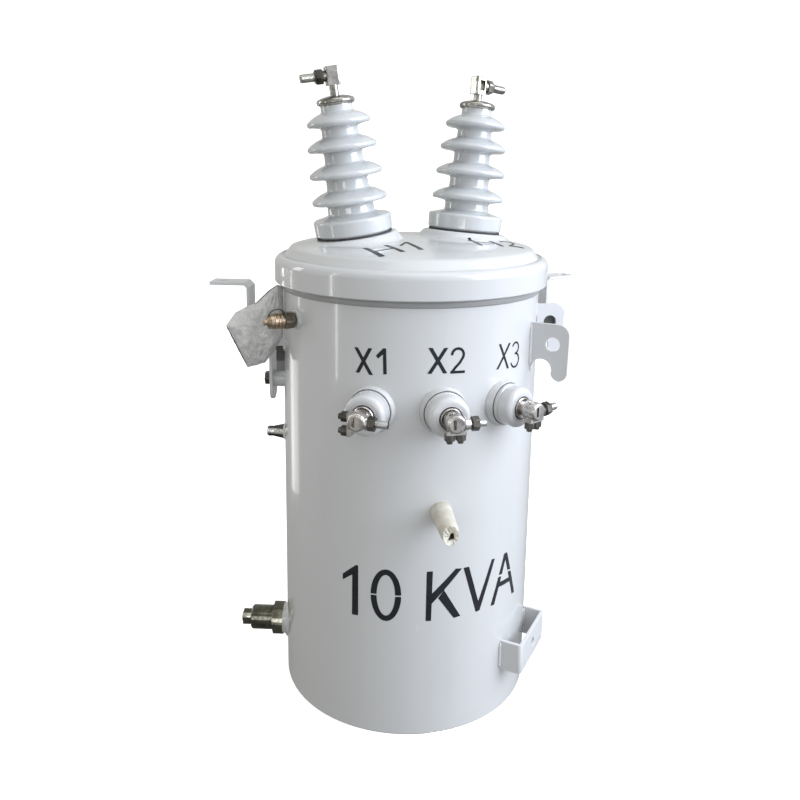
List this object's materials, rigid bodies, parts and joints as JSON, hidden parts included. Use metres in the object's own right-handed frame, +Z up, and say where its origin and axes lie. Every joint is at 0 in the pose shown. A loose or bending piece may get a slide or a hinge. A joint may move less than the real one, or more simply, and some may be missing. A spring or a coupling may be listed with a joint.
{
  "type": "pole mounted transformer",
  "caption": "Round oil-tank distribution transformer with tilted top bushings, front terminals, banded cover, lifting lugs and side brackets.",
  "frame": {"origin": "middle of the tank's bottom face, on the tank axis", "axes": "+Z up along the tank axis; the front, with the middle low-voltage bushing, faces -Y; +X is to the right of someone facing the front"},
  "size_m": [0.5916, 0.4883, 0.9306],
  "materials": {
    "tank_paint": "gloss",
    "band_paint": "gloss",
    "bracket_paint": "gloss",
    "zinc_steel": "satin",
    "bolt_steel": "satin",
    "tinned_metal": "satin",
    "gasket_rubber": "matte",
    "bushing_glaze": "gloss",
    "cream_glaze": "gloss",
    "tap_cap": "matte",
    "valve_brass": "satin",
    "valve_nickel": "satin",
    "wrap_film": "gloss"
  },
  "bodies": {
    "root": {"tank_bottom": "tank_paint", "tank_wall": "tank_paint", "tank_lip": "tank_paint", "cover": "tank_paint", "cover_band": "band_paint", "band_bolt": "zinc_steel", "hv_gaskets": "gasket_rubber", "hv_porcelain_1": "bushing_glaze", "hv_cap_1": "tinned_metal", "hv_eye_clamp_1": "tinned_metal", "hv_clamp_bolt_1": "bolt_steel", "hv_porcelain_2": "bushing_glaze", "hv_cap_2": "tinned_metal", "hv_eye_clamp_2": "tinned_metal", "hv_clamp_bolt_2": "bolt_steel", "lv_collar_1": "tank_paint", "lv_porcelain_1": "cream_glaze", "lv_stud_1": "tinned_metal", "lv_clamp_1": "tinned_metal", "lv_collar_2": "tank_paint", "lv_porcelain_2": "cream_glaze", "lv_stud_2": "tinned_metal", "lv_clamp_2": "tinned_metal", "lv_collar_3": "tank_paint", "lv_porcelain_3": "cream_glaze", "lv_stud_3": "tinned_metal", "lv_clamp_3": "tinned_metal", "lv_eyebolts": "bolt_steel", "lv_clamp_nuts": "bolt_steel", "tap_changer_stub": "tap_cap", "relief_valve_boss": "tank_paint", "relief_valve": "valve_brass", "drain_boss": "tank_paint", "drain_valve": "valve_nickel", "ground_pad": "tank_paint", "ground_stud": "zinc_steel", "hook_plate_front": "tank_paint", "lifting_lug_left": "tank_paint", "lifting_lug_right": "tank_paint", "lower_strap": "tank_paint", "arrester_bracket_left": "bracket_paint", "arrester_bracket_right": "bracket_paint", "arrester_bosses": "tank_paint", "arrester_bolts": "bolt_steel", "film_wrap": "wrap_film"}
  },
  "joints": []
}
